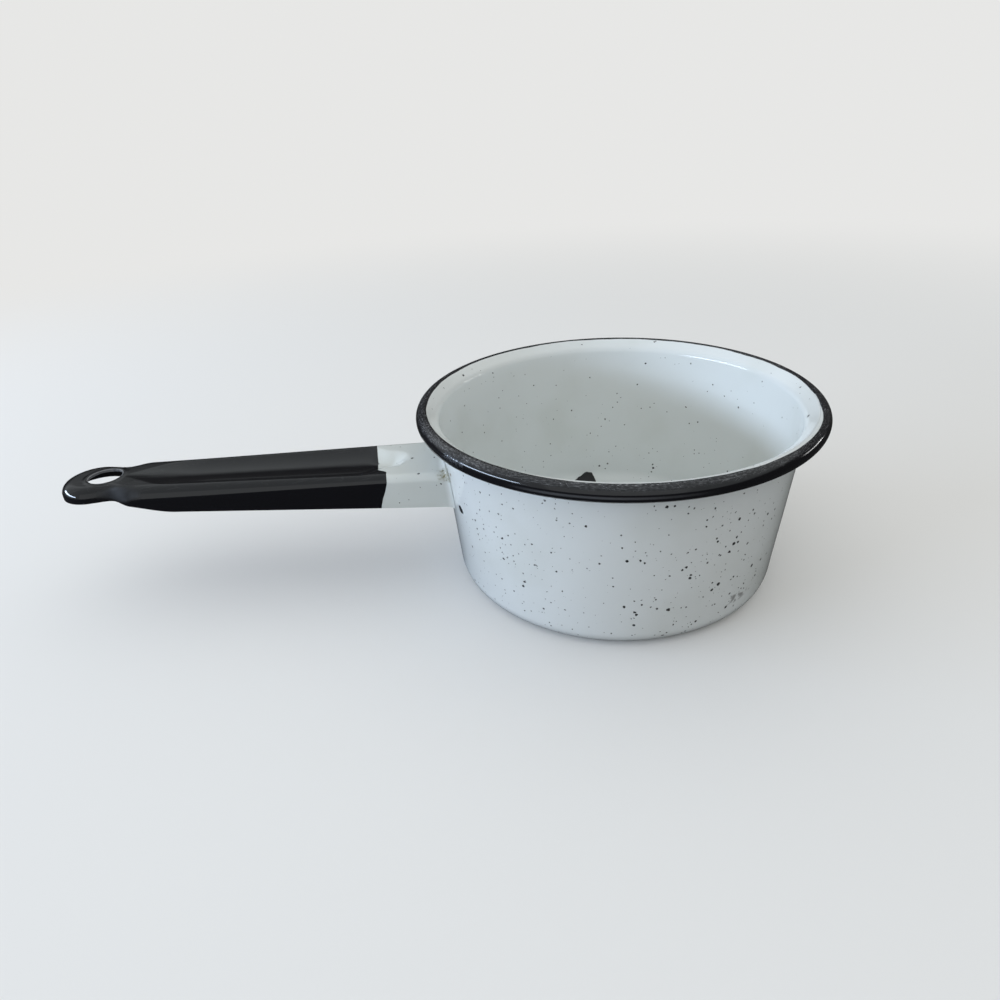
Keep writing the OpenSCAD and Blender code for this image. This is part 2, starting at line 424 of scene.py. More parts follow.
def revolve(bm):
    bmesh.ops.spin(
        bm, geom=bm.verts[:] + bm.edges[:], cent=(0, 0, 0), axis=(0, 0, 1),
        angle=math.tau, steps=PAN_STEPS, use_merge=True,
    )
    bmesh.ops.remove_doubles(bm, verts=bm.verts[:], dist=SAME_PLACE)


def face_away(bm, inside):
    """Turns the faces so that the first one looks away from a point inside the sheet's hollow"""
    bmesh.ops.recalc_face_normals(bm, faces=bm.faces[:])
    bm.faces.ensure_lookup_table()
    first = bm.faces[0]
    if first.normal.dot(first.calc_center_median() - inside) < 0:
        bmesh.ops.reverse_faces(bm, faces=bm.faces[:])


def uneven(bm, amount, size):
    """Moves the sheet in and out by a slow, smooth unevenness"""
    for vert in bm.verts:
        away = Vector((vert.co.x, vert.co.y, 0))
        if away.length > SAME_PLACE:
            vert.co += away.normalized() * amount * noise.noise(vert.co / size)


def piece(bm, name, material, slot_name, *nodes):
    """Makes the finished mesh a piece that rides on the frame and stands for its CAD nodes"""
    mesh = bpy.data.meshes.new(name)
    for face in bm.faces:
        face.smooth = True
    bm.to_mesh(mesh)
    bm.free()
    mesh.set_sharp_from_angle(angle=SMOOTH_ANGLE)
    obj = bpy.data.objects.new(name, mesh)
    bpy.context.scene.collection.objects.link(obj)
    mesh.materials.append(material)
    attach(obj, "root")
    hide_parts(*nodes)
    return obj


# Material work


class Wire:
    """A number or a vector that comes out of a node, which sums can be written with"""

    def __init__(self, recipe, socket):
        self.recipe = recipe
        self.socket = socket

    def sum(self, kind, other, swapped=False):
        pair = (other, self) if swapped else (self, other)
        return self.recipe.math(kind, *pair)

    def __add__(self, other):
        return self.sum("ADD", other)

    def __radd__(self, other):
        return self.sum("ADD", other)

    def __sub__(self, other):
        return self.sum("SUBTRACT", other)

    def __rsub__(self, other):
        return self.sum("SUBTRACT", other, True)

    def __mul__(self, other):
        return self.sum("MULTIPLY", other)

    def __truediv__(self, other):
        return self.sum("DIVIDE", other)


class Recipe:
    """A material or a world that is written as sums on places, noises and coats of enamel"""

    def __init__(self, owner, coordinates="Object"):
        self.owner = owner
        owner.use_nodes = True
        self.tree = owner.node_tree
        self.tree.nodes.clear()
        self.place = Wire(self, self.node("ShaderNodeTexCoord").outputs[coordinates])
        parts = self.node("ShaderNodeSeparateXYZ")
        self.feed(parts.inputs[0], self.place)
        self.x, self.y, self.z = (Wire(self, s) for s in parts.outputs)

    def node(self, kind, **settings):
        made = self.tree.nodes.new(kind)
        for key, value in settings.items():
            setattr(made, key, value)
        return made

    def feed(self, socket, value):
        if isinstance(value, Wire):
            self.tree.links.new(value.socket, socket)
        elif socket.type == "RGBA":
            socket.default_value = (*value, 1)
        else:
            socket.default_value = value

    def math(self, kind, *values):
        made = self.node("ShaderNodeMath", operation=kind)
        for socket, value in zip(made.inputs, values):
            self.feed(socket, value)
        return Wire(self, made.outputs[0])

    def vector(self, kind, *values, number=False):
        made = self.node("ShaderNodeVectorMath", operation=kind)
        for index, value in enumerate(values):
            self.feed(made.inputs["Scale"] if kind == "SCALE" and index else made.inputs[index], value)
        return Wire(self, made.outputs["Value" if number else "Vector"])

    def join(self, x, y, z=0.0):
        made = self.node("ShaderNodeCombineXYZ")
        for socket, value in zip(made.inputs, (x, y, z)):
            self.feed(socket, value)
        return Wire(self, made.outputs[0])

    def smooth(self, value, low, high):
        """0 below low and 1 above high, or the other way round where low is the larger"""
        made = self.node("ShaderNodeMapRange", interpolation_type="SMOOTHSTEP")
        for name, number in (("Value", value), ("From Min", low), ("From Max", high)):
            self.feed(made.inputs[name], number)
        return Wire(self, made.outputs["Result"])

    def noise(self, place, size, detail=2.0, output="Factor"):
        """Noise whose features are about size across, from 0 to 1"""
        made = self.node("ShaderNodeTexNoise")
        self.feed(made.inputs["Vector"], place)
        made.inputs["Scale"].default_value = 1 / size
        made.inputs["Detail"].default_value = detail
        return Wire(self, made.outputs["Fac" if output == "Factor" else output])

    def cells(self, place, size):
        """Distance to the nearest of scattered points, and three random numbers for each point"""
        made = self.node("ShaderNodeTexVoronoi")
        self.feed(made.inputs["Vector"], place)
        made.inputs["Scale"].default_value = 1 / size
        lots = self.node("ShaderNodeSeparateColor")
        self.tree.links.new(made.outputs["Color"], lots.inputs[0])
        return Wire(self, made.outputs["Distance"]) * size, [Wire(self, s) for s in lots.outputs]

    def blend(self, mask, below, above):
        made = self.node("ShaderNodeMix", data_type="RGBA")
        self.feed(made.inputs[0], mask)
        self.feed(made.inputs[6], below)
        self.feed(made.inputs[7], above)
        return Wire(self, made.outputs[2])

    def between(self, mask, below, above):
        made = self.node("ShaderNodeMix", data_type="FLOAT")
        self.feed(made.inputs[0], mask)
        self.feed(made.inputs[2], below)
        self.feed(made.inputs[3], above)
        return Wire(self, made.outputs[0])

    def any_of(self, *masks):
        result = masks[0]
        for mask in masks[1:]:
            result = self.math("MAXIMUM", result, mask)
        return result

    def spot(self, centre, radii, wobble, grain, soft):
        """A mark round a place: the outline is uneven by wobble, with a grain, and fades over soft"""
        offset = self.vector("DIVIDE", self.vector("SUBTRACT", self.place, centre), radii)
        rough = (self.noise(self.place, grain) - 0.5) * (2 * wobble)
        return self.smooth(self.vector("LENGTH", offset, number=True) + rough, 1 + soft, 1 - soft)

    def mark(self, name):
        """One of the named marks of wear"""
        middle, reach, ragged, grain, soft = MARKS[name]
        return self.spot([n * MM for n in middle], [n * MM for n in reach], ragged, grain * MM, soft)

    def ray_kinds(self):
        """Masks for what the camera sees directly and for what the enamel mirrors"""
        paths = self.node("ShaderNodeLightPath")
        return [Wire(self, paths.outputs[name]) for name in ("Is Camera Ray", "Is Glossy Ray")]

    def surface(self, shader, kind="ShaderNodeOutputMaterial"):
        output = self.node(kind)
        self.tree.links.new(shader.outputs[0], output.inputs["Surface"])


class Coats:
    """Coats laid over each other: each has a mask, a colour, a roughness and a height in metres"""

    def __init__(self, recipe, tone, roughness):
        self.recipe = recipe
        self.tone = tone
        self.roughness = roughness
        self.metallic = 0.0
        self.height = 0.0

    def lay(self, mask, tone, roughness, height=0.0, metallic=0.0):
        recipe = self.recipe
        self.tone = recipe.blend(mask, self.tone, tone)
        self.roughness = recipe.between(mask, self.roughness, roughness)
        if metallic or isinstance(self.metallic, Wire):
            self.metallic = recipe.between(mask, self.metallic, metallic)
        if height:
            self.height = mask * height + self.height
        return self

    def finish(self):
        recipe = self.recipe
        shader = recipe.node("ShaderNodeBsdfPrincipled")
        recipe.feed(shader.inputs["Base Color"], self.tone)
        recipe.feed(shader.inputs["Roughness"], self.roughness)
        recipe.feed(shader.inputs["Metallic"], self.metallic)
        shader.inputs["IOR"].default_value = ENAMEL_IOR
        bump = recipe.node("ShaderNodeBump")
        bump.inputs["Distance"].default_value = 1.0
        recipe.feed(bump.inputs["Height"], self.height)
        recipe.tree.links.new(bump.outputs[0], shader.inputs["Normal"])
        recipe.surface(shader)
        return recipe.owner


def specks(recipe, cell, smallest, largest, amount, seed):
    """Dark pinholes and specks fired into the enamel, with uneven outlines"""
    pull = recipe.vector("SUBTRACT", recipe.noise(recipe.place, 0.9 * MM, output="Color"), (0.5, 0.5, 0.5))
    place = recipe.vector("ADD", recipe.place, recipe.vector("SCALE", pull, 0.8 * MM))
    near, (lot, size, shade) = recipe.cells(recipe.vector("ADD", place, (seed, seed, seed)), cell)
    radius = recipe.between(recipe.math("POWER", size, 2.5), smallest, largest)
    shown = recipe.smooth(amount - lot, 0.0, 0.01)
    return recipe.smooth(radius - near, -0.05 * MM, 0.05 * MM) * shown, shade


def white_coats(recipe, finish, amount, painted_shade=0.0):
    """White enamel with its orange peel, thin places and fired-in specks; the greyed share adds painted
    shade, greying the whole surface towards the stain colour
    """
    thin = recipe.smooth(recipe.noise(recipe.place, 38 * MM, 3.0), 0.45, 0.75)
    # Random thin places, plus painted shade that greys the whole surface by the greyed share
    tone_and_painted_shade = recipe.blend(thin * 0.35 + painted_shade, tuple(finish.white), tuple(finish.stain))
    fine = (recipe.noise(recipe.place, 6 * MM, 3.0) - 0.5) * 0.06
    coats = Coats(recipe, tone_and_painted_shade, fine + finish.gloss)
    waves = recipe.noise(recipe.place, WHITE_WAVE, 1.0) * WHITE_WAVE_H
    coats.height = waves + recipe.noise(recipe.place, WHITE_PEEL) * WHITE_PEEL_H
    for cell, smallest, largest, part, pale, seed in SPECK_SORTS:
        mask, shade = specks(recipe, cell, smallest, largest, amount * part, seed)
        grey = recipe.blend(shade, tuple(finish.chip), (pale, pale, pale))
        coats.lay(mask, grey, 0.35, height=-PIT_D)
    return coats


def lay_tarnish(coats, finish, where=1.0):
    """Olive stain in the near upper corner between the handle and the wall"""
    recipe = coats.recipe
    grain = recipe.smooth(recipe.noise(recipe.place, 0.9 * MM, 3.0), 0.46, 0.62)
    coats.lay(recipe.mark("tarnish") * (grain * 0.6 + 0.4) * where, tuple(finish.tarnish), 0.35)


def scratches(recipe, u, v, heading, run, breadth, rarity, seed):
    """Fine straight scratches that run at a heading, in radians, over the sheet"""
    along = u * math.cos(heading) + v * math.sin(heading)
    beside = v * math.cos(heading) - u * math.sin(heading)
    streak = recipe.noise(recipe.join(along / run, beside / breadth, seed), 1.0, 1.0)
    return recipe.smooth(streak, rarity, rarity + 0.05)


def black_coats(recipe, finish):
    """Black enamel with a slow waviness and a little haze"""
    haze = recipe.noise(recipe.place, 9 * MM, 4.0)
    coats = Coats(recipe, tuple(finish.black), recipe.smooth(haze, 0.3, 0.8) * 0.08 + 0.08)
    waves = recipe.noise(recipe.place, BLACK_WAVE, 1.0) * BLACK_WAVE_H
    coats.height = waves + recipe.noise(recipe.place, BLACK_PEEL) * BLACK_PEEL_H
    return coats


def dipped(coats, black, dark, step):
    """The second enamel over the first where the mask black is 1, raised by its own thickness"""
    recipe = coats.recipe
    tone = recipe.blend(black, coats.tone, dark.tone)
    both = Coats(recipe, tone, recipe.between(black, coats.roughness, dark.roughness))
    if isinstance(dark.metallic, Wire):
        both.metallic = dark.metallic * black
    both.height = recipe.between(black, coats.height, dark.height + step)
    return both


def bowl_specks(recipe, inside):
    """How many specks there are: they come in drifts, more towards the base and fewer inside"""
    patch = recipe.smooth(recipe.noise(recipe.place, 26 * MM, 2.0), 0.36, 0.64)
    lower = recipe.smooth(recipe.z, 75 * MM, 20 * MM) * 0.35 + 0.65
    return (patch * 0.65 + 0.35) * lower * recipe.between(inside, 1.0, 0.28)


def inner_chip(recipe, low, high):
    """Mask of the chip inside the far corner, which fades from low to high beyond its ragged outline"""
    sides = [
        recipe.vector("DOT_PRODUCT", recipe.place, (nx, 0, nz), number=True) - limit
        for nx, nz, limit in INNER_CHIP_LINES
    ]
    beside = recipe.x - INNER_CHIP_X
    sides.append(INNER_CHIP_Y - recipe.y + beside * beside / INNER_CHIP_BEND)
    ragged = recipe.any_of(*sides) + (recipe.noise(recipe.place, 1.6 * MM, 3.0) - 0.5) * 0.8 * MM
    return recipe.smooth(ragged, high, low)


def lay_wear_on_bowl(coats, finish, inside):
    """Worn foot, scuff low on the right, stain and chip by the handle, pits, rust and the chip inside"""
    recipe = coats.recipe
    outside = 1 - inside
    white, bare = tuple(finish.white), tuple(finish.chip)
    foot = recipe.smooth(recipe.math("ABSOLUTE", recipe.z - 1.6 * MM), 1.2 * MM, 0.2 * MM)
    foot = foot * recipe.smooth(recipe.noise(recipe.place, 5 * MM, 3.0), 0.5, 0.62) * outside
    coats.lay(foot * 0.7, tuple(finish.stain), 0.4)
    scuff = recipe.mark("scuff") * recipe.smooth(recipe.noise(recipe.place, 2.2 * MM, 4.0), 0.44, 0.56)
    coats.lay(scuff * 0.6 * outside, tuple(finish.worn_white), 0.5)
    lay_tarnish(coats, finish, outside)
    for x, y, z, size in PITS:
        pit = recipe.spot((x * MM, y * MM, z * MM), (size * 0.7 * MM,) * 3, 0.7, 0.6 * MM, 0.2)
        coats.lay(pit * outside, bare, 0.4, height=-PIT_D)
    coats.lay(inner_chip(recipe, 0.1 * MM, 0.7 * MM) * inside, white, 0.2)
    coats.lay(recipe.mark("corner ring") * outside, white, 0.15, height=CHIP_RING_H)
    deep = inner_chip(recipe, -0.1 * MM, 0.1 * MM) * inside
    coats.lay(recipe.any_of(deep, recipe.mark("corner chip") * outside), bare, 0.55, height=-CHIP_D)
    coats.lay(recipe.mark("rust") * outside, tuple(finish.rust), 0.7, height=-RUST_D)


def lay_wear_on_bead(dark, finish, u, v):
    """Dull top that is partly painted sheen, scratches, a painted reflection band on the near side and flecks
    of bare steel; u runs round the rim and v round the bead
    """
    recipe = dark.recipe
    scuff_and_sheen, steel = tuple(finish.scuff), tuple(finish.steel)
    unevenness = (recipe.noise(recipe.place, 5 * MM, 3.0) - 0.5) * 2.0 * MM
    on_top = recipe.smooth(v + unevenness, 1.7 * MM, 3.1 * MM)
    # Near left of the bead: where the top is most worn and where the painted sheen on it is lightest
    wear_and_sheen = recipe.mark("worn and sheened rim")
    # Painted reflection: a grey band round the middle of the bead's near outer side, where the low front is
    # mirrored
    side_sheen = recipe.smooth(recipe.math("ABSOLUTE", v + 0.3 * MM), 0.7 * MM, 0.2 * MM)
    dark.lay(side_sheen * recipe.mark("near side sheen") * 0.3, scuff_and_sheen, 0.3)
    dull_and_sheen = recipe.smooth(recipe.noise(recipe.join(u / 2.5, v), 0.5 * MM, 4.0), 0.45, 0.68) * on_top
    dull_and_sheen = dull_and_sheen * recipe.smooth(v, 6.3 * MM, 5.2 * MM)
    # Scuffed grey laid over the top: partly real dull wear, partly painted sheen standing in for the broad
    # reflection along the top
    dark.lay(on_top * (wear_and_sheen * 0.08 + 0.05) + dull_and_sheen * (wear_and_sheen * 0.25 + 0.25), scuff_and_sheen, 0.36)
    fine = recipe.any_of(*(scratches(recipe, u, v, *sort) for sort in BEAD_SCRATCHES))
    dark.lay(fine * on_top * 0.5, steel, 0.4, height=-SCRATCH_D)
    dots, _ = specks(recipe, 1.1 * MM, 0.05 * MM, 0.22 * MM, wear_and_sheen * 0.5 + 0.2, 0.2)
    dark.lay(dots * on_top * 0.6, steel, 0.4)
    patches = recipe.smooth(recipe.noise(recipe.place, 0.9 * MM, 3.0), 0.44, 0.54)
    dark.lay(recipe.mark("dulled side") * patches, tuple(finish.black), 0.55)

    # Flecks of bare steel along the crest, most of them on the near side
    crest_line = recipe.smooth(recipe.math("ABSOLUTE", v - 4.9 * MM), 1.1 * MM, 0.3 * MM)
    runs = recipe.smooth(recipe.noise(recipe.join(u, 0.0), 13 * MM, 2.0), 0.52, 0.62)
    flecks = recipe.smooth(recipe.noise(recipe.join(u / 3, v), 0.42 * MM, 3.0), 0.55, 0.66)
    flecks = flecks * crest_line * recipe.any_of(runs * 0.6, recipe.mark("crest wear"))
    dark.lay(flecks, steel, 0.3, height=-FLECK_D, metallic=0.6)


def rim_material(name, finish, pan, with_underside):
    """White enamel up to the crest of the rolled rim and black beyond, for the bowl and for its bead"""
    recipe = Recipe(bpy.data.materials.new(name))
    outward = recipe.vector("LENGTH", recipe.join(recipe.x, recipe.y), number=True) - pan.bead_c.x
    upward = recipe.z - pan.bead_c.z
    facing = Wire(recipe, recipe.node("ShaderNodeNewGeometry").outputs["Normal"])
    from_middle = recipe.vector("SUBTRACT", recipe.place, (0, 0, 70 * MM))
    inside = recipe.smooth(
        recipe.vector("DOT_PRODUCT", facing, from_middle, number=True), 1 * MM, -1 * MM)
    coats = white_coats(recipe, finish, bowl_specks(recipe, inside))
    lay_wear_on_bowl(coats, finish, inside)

    # Black: from the crest of the bead outwards, and all of the bead's underside
    wobble = (recipe.noise(recipe.place, RIM_WOBBLE_SIZE, 3.0) - 0.5) * RIM_WOBBLE
    crest = pan.bead_r * math.cos(pan.bowl.white_edge_angle)
    front = recipe.smooth(recipe.y, -20 * MM, -62 * MM) * recipe.smooth(recipe.x, -62 * MM, -30 * MM)
    right = recipe.smooth(recipe.y, -10 * MM, -40 * MM) * recipe.smooth(recipe.x, 15 * MM, 45 * MM)
    edge = outward + wobble - (front * WIDER_IN_FRONT + right * WIDER_ON_RIGHT)
    black = recipe.smooth(edge, crest - RIM_LINE_SOFT, crest + RIM_LINE_SOFT)
    if with_underside:
        black = recipe.any_of(black, recipe.smooth(upward, 0.2 * MM, -0.2 * MM))
    dark = black_coats(recipe, finish)
    u = recipe.math("ARCTAN2", recipe.y, recipe.x) * pan.bead_c.x
    v = recipe.math("ARCTAN2", upward, outward) * pan.bead_r
    lay_wear_on_bead(dark, finish, u, v)
    return dipped(coats, black, dark, BEAD_STEP_H).finish()


def handle_material(name, finish, lines):
    """White enamel at the pan, greyed as painted shade, dipped in black along an uneven line"""
    recipe = Recipe(bpy.data.materials.new(name))
    amount = recipe.smooth(recipe.noise(recipe.place, 14 * MM), 0.3, 0.7) * 0.3
    # Painted shade: the handle's white end is greyed halfway towards the stain colour
    coats = white_coats(recipe, finish, amount, 0.5)
    lay_tarnish(coats, finish)

    # On the near side wall the black reaches further towards the pan, and low down it draws back again
    near = recipe.smooth(recipe.y, -9.5 * MM, -12.5 * MM) * DIP_NEAR_STEP
    low = recipe.smooth(recipe.z, 53 * MM, 37 * MM) * DIP_LOW_STEP * recipe.smooth(recipe.y, 0.0, -12 * MM)
    wobble = (recipe.noise(recipe.place, 7 * MM, 2.0) - 0.5) * 0.8 * MM
    line = DIP_X + recipe.y * DIP_LEAN + near - low + wobble
    black = recipe.smooth(recipe.x - line, 0.09 * MM, -0.09 * MM)

    # Scratches on top, a worn ring round the hanging hole and the rubbed waist
    dark = black_coats(recipe, finish)
    fine = recipe.any_of(*(scratches(recipe, recipe.x, recipe.y, *sort) for sort in HANDLE_SCRATCHES))
    fine = fine * recipe.smooth(recipe.z, lines.top - 1.6 * MM, lines.top - 0.4 * MM)
    dark.lay(fine * 0.25, tuple(finish.scuff), 0.35)
    offset = recipe.join(recipe.x + (lines.start + lines.hole_at), recipe.y)
    from_edge = recipe.vector("LENGTH", offset, number=True) - (lines.h.hole_d / 2 + 0.15 * MM)
    ring = recipe.smooth(recipe.math("ABSOLUTE", from_edge), 0.4 * MM, 0.15 * MM)
    ring = ring * recipe.smooth(recipe.noise(recipe.place, 4 * MM, 3.0), 0.2, 0.5)
    dark.lay(ring * 0.4, tuple(finish.steel), 0.4)
    dark.lay(recipe.mark("rubbed waist"), tuple(finish.black), 0.8)
    return dipped(coats, black, dark, DIP_STEP_H).finish()


# Pieces


class AddBowl(bpy.types.Operator):
    """Add the drawn bowl in white enamel"""

    bl_idname = "saucepan.add_bowl"
    bl_label = "Bowl"

    def execute(self, context):
        bowl, _, finish = settings()
        pan = PanLines(bowl)
        bm = bmesh.new()
        quarter = math.pi / 2
        tip = line_to(bm, bm.verts.new((0, 0, 0)), (pan.corner_c.x, 0, 0))
        tip = turn_to(bm, tip, pan.corner_c, pan.slope, TURN_STEPS * 2)
        tip = line_to(bm, tip, pan.flare_c + out(pan.slope + quarter, bowl.flare_r))
        tip = turn_to(bm, tip, pan.flare_c, bowl.lip_angle - pan.slope, TURN_STEPS)
        tip = line_to(bm, tip, pan.lip_top)
        turn_to(bm, tip, pan.bead_c, bowl.white_edge_angle - bowl.lip_angle - quarter, TURN_STEPS)
        straight = sorted(bm.edges, key=lambda e: e.calc_length())[-2:]
        for edge, cuts in zip(straight, (BASE_CUTS, WALL_CUTS)):
            bmesh.ops.subdivide_edges(bm, edges=[edge], cuts=cuts)
        revolve(bm)
        face_away(bm, Vector((0, 0, bowl.pan_h)))
        bmesh.ops.solidify(bm, geom=bm.faces[:], thickness=bowl.sheet_t)
        uneven(bm, bowl.ripple, RIPPLE_SIZE)
        material = rim_material("white_enamel", finish, pan, False)
        piece(bm, "bowl", material, "white_enamel", "pan_body")
        return {"FINISHED"}


class AddBead(bpy.types.Operator):
    """Add the rolled rim bead in black enamel"""

    bl_idname = "saucepan.add_bead"
    bl_label = "Rim bead"

    def execute(self, context):
        bowl, _, finish = settings()
        pan = PanLines(bowl)
        bm = bmesh.new()
        first = bm.verts.new(pan.bead_c + out(bowl.white_edge_angle, pan.curl_r))
        turn_to(bm, first, pan.bead_c, -bowl.curl_angle, BEAD_STEPS)
        revolve(bm)
        bmesh.ops.recalc_face_normals(bm, faces=bm.faces[:])
        bm.faces.ensure_lookup_table()
        middle = bm.faces[0].calc_center_median()
        hub = Vector((middle.x, middle.y, 0)).normalized() * pan.bead_c.x + Vector((0, 0, pan.bead_c.z))
        if bm.faces[0].normal.dot(middle - hub) > 0:
            bmesh.ops.reverse_faces(bm, faces=bm.faces[:])
        bmesh.ops.solidify(bm, geom=bm.faces[:], thickness=bowl.sheet_t)
        uneven(bm, bowl.ripple, RIPPLE_SIZE)
        material = rim_material("black_enamel", finish, pan, True)
        piece(bm, "rolled_bead", material, "black_enamel", "rim_bead")
        return {"FINISHED"}


def pressed_handle(lines):
    """The whole pressing from the wall to the round end, with its thickness and rounded edges"""
    handle = lines.h
    columns = TOP_COLUMNS + SHOULDER_COLUMNS + SIDE_COLUMNS
    bm = bmesh.new()
    bmesh.ops.create_grid(bm, x_segments=HANDLE_ROWS, y_segments=2 * columns, size=0.5)
    for vert in bm.verts:
        row = round((vert.co.x + 0.5) * HANDLE_ROWS)
        vert.co = lines.point(lines.eye_at * row / HANDLE_ROWS, round(vert.co.y * 2 * columns))

    # The round end: half of the last section turned about the middle of the eye
    eye = Vector((-(lines.start + lines.eye_at), 0, lines.top))

    def on_last_half(vert):
        return abs(vert.co.x - eye.x) < SAME_PLACE and vert.co.y > -SAME_PLACE

    last = [e for e in bm.edges if all(on_last_half(v) for v in e.verts)]
    ends = list({v for e in last for v in e.verts})
    bmesh.ops.spin(bm, geom=last + ends, cent=eye, axis=(0, 0, 1), angle=math.pi, steps=NOSE_STEPS)
    bmesh.ops.remove_doubles(bm, verts=bm.verts[:], dist=SAME_PLACE)

    # The flat of the eye is opened, and its edge is drawn in to the hanging hole
    def on_eye(vert):
        return abs(vert.co.z - lines.top) < SAME_PLACE and vert.co.x < eye_from

    eye_row = round(EYE_START_SHARE * HANDLE_ROWS)
    eye_from = -(lines.start + lines.eye_at * eye_row / HANDLE_ROWS) + SAME_PLACE
    flat = [f for f in bm.faces if all(on_eye(v) for v in f.verts)]
    bmesh.ops.delete(bm, geom=flat, context="FACES")
    rim = [e for e in bm.edges if e.is_boundary and all(on_eye(v) for v in e.verts)]
    drawn = bmesh.ops.extrude_edge_only(bm, edges=rim)["geom"]
    ring = {g for g in drawn if isinstance(g, bmesh.types.BMVert)}
    hole = Vector((-(lines.start + lines.hole_at), 0, lines.top))
    for vert in ring:
        vert.co = hole + (vert.co - hole).normalized() * handle.hole_d / 2
    spokes = [e for v in ring for e in v.link_edges if e.other_vert(v) not in ring]
    bmesh.ops.subdivide_edges(bm, edges=spokes, cuts=HOLE_RINGS, use_grid_fill=True)
    for vert in bm.verts:
        if abs(vert.co.z - lines.top) < SAME_PLACE:
            from_hole = (vert.co - hole).length - handle.hole_d / 2
            lip = math.sin(math.pi * unit(from_hole / handle.hole_lip_w)) ** 2
            vert.co.z += handle.hole_lip_h * lip - lines.groove(-vert.co.x - lines.start, vert.co.y)

    bmesh.ops.recalc_face_normals(bm, faces=bm.faces[:])
    bm.normal_update()
    if sum(f.normal.z for f in bm.faces) < 0:
        bmesh.ops.reverse_faces(bm, faces=bm.faces[:])
    bmesh.ops.solidify(bm, geom=bm.faces[:], thickness=lines.pan.bowl.sheet_t)
    weld_x = -(lines.start + handle.weld_leg)
    sharp = [
        e for e in bm.edges
        if e.calc_face_angle(0) > CUT_EDGE_ANGLE and all(v.co.x < weld_x for v in e.verts)
    ]
    bmesh.ops.bevel(
        bm, geom=sharp, offset=handle.edge_r, offset_type="OFFSET", segments=EDGE_STEPS, profile=0.5,
        affect="EDGES", material=-1, clamp_overlap=True)
    return bm


class AddHandle(bpy.types.Operator):
    """Add the pressed handle, its white end and its black dipped end"""

    bl_idname = "saucepan.add_handle"
    bl_label = "Handle"

    def execute(self, context):
        bowl, handle, finish = settings()
        lines = HandleLines(bowl, handle)
        whole = pressed_handle(lines)
        material = handle_material("handle_enamel", finish, lines)
        dip = Vector((-(lines.start + lines.white_l), 0, 0))
        for name, way, slot_name, node in (
            ("handle_white_end", -1, "white_enamel_handle", "handle_shank"),
            ("handle_black_end", 1, "black_enamel_handle", "handle_grip"),
        ):
            bm = whole.copy()
            cut = bmesh.ops.bisect_plane(
                bm, geom=bm.verts[:] + bm.edges[:] + bm.faces[:], dist=SAME_PLACE,
                plane_co=dip, plane_no=(way, 0, 0), clear_outer=True)
            edges = [g for g in cut["geom_cut"] if isinstance(g, bmesh.types.BMEdge)]
            bmesh.ops.triangle_fill(bm, use_beauty=True, edges=edges)
            piece(bm, name, material, slot_name, node)
        whole.free()
        return {"FINISHED"}


class AddWeld(bpy.types.Operator):
    """Add the enamelled fillet seam between the handle and the wall"""

    bl_idname = "saucepan.add_weld"
    bl_label = "Weld"

    def execute(self, context):
        bowl, handle, finish = settings()
        lines = HandleLines(bowl, handle)
        columns = TOP_COLUMNS + SHOULDER_COLUMNS + SIDE_COLUMNS
        bm = bmesh.new()
        bmesh.ops.create_grid(bm, x_segments=WELD_STEPS, y_segments=2 * columns, size=0.5)
        column_of = bm.verts.layers.int.new("column")
        for vert in bm.verts:
            t = vert.co.x + 0.5
            column = round(vert.co.y * 2 * columns)
            vert[column_of] = column
            corner = lines.pan.on_wall(*lines.across(0, column, CLEAR_OF_WALL))
            uneven_share = WELD_UNEVEN_SHARE * noise.noise(corner / WELD_RIPPLE_SIZE)
            leg = handle.weld_leg * (WELD_LEG_SHARE + uneven_share)
            foot = lines.pan.on_wall(*lines.across(0, column, CLEAR_OF_WALL + leg))
            heel = corner - Vector((leg, 0, 0))
            vert.co = (1 - t) ** 2 * heel + 2 * t * (1 - t) * corner + t * t * foot
        back = bmesh.ops.extrude_face_region(bm, geom=bm.faces[:], use_keep_orig=True)["geom"]
        for vert in (g for g in back if isinstance(g, bmesh.types.BMVert)):
            vert.co = lines.pan.on_wall(*lines.across(0, vert[column_of], CLEAR_OF_WALL))
        bmesh.ops.remove_doubles(bm, verts=bm.verts[:], dist=SAME_PLACE)
        bmesh.ops.recalc_face_normals(bm, faces=bm.faces[:])
        recipe = Recipe(bpy.data.materials.new("weld_enamel"))
        # Painted shade: the weld's white is greyed towards the stain colour, for the shaded corner under the
        # handle
        coats = white_coats(recipe, finish, recipe.noise(recipe.place, 12 * MM) * 0.3, 0.4)
        lay_tarnish(coats, finish)
        piece(bm, "weld_seam", coats.finish(), "white_enamel_handle", "handle_weld")
        return {"FINISHED"}


# Stage


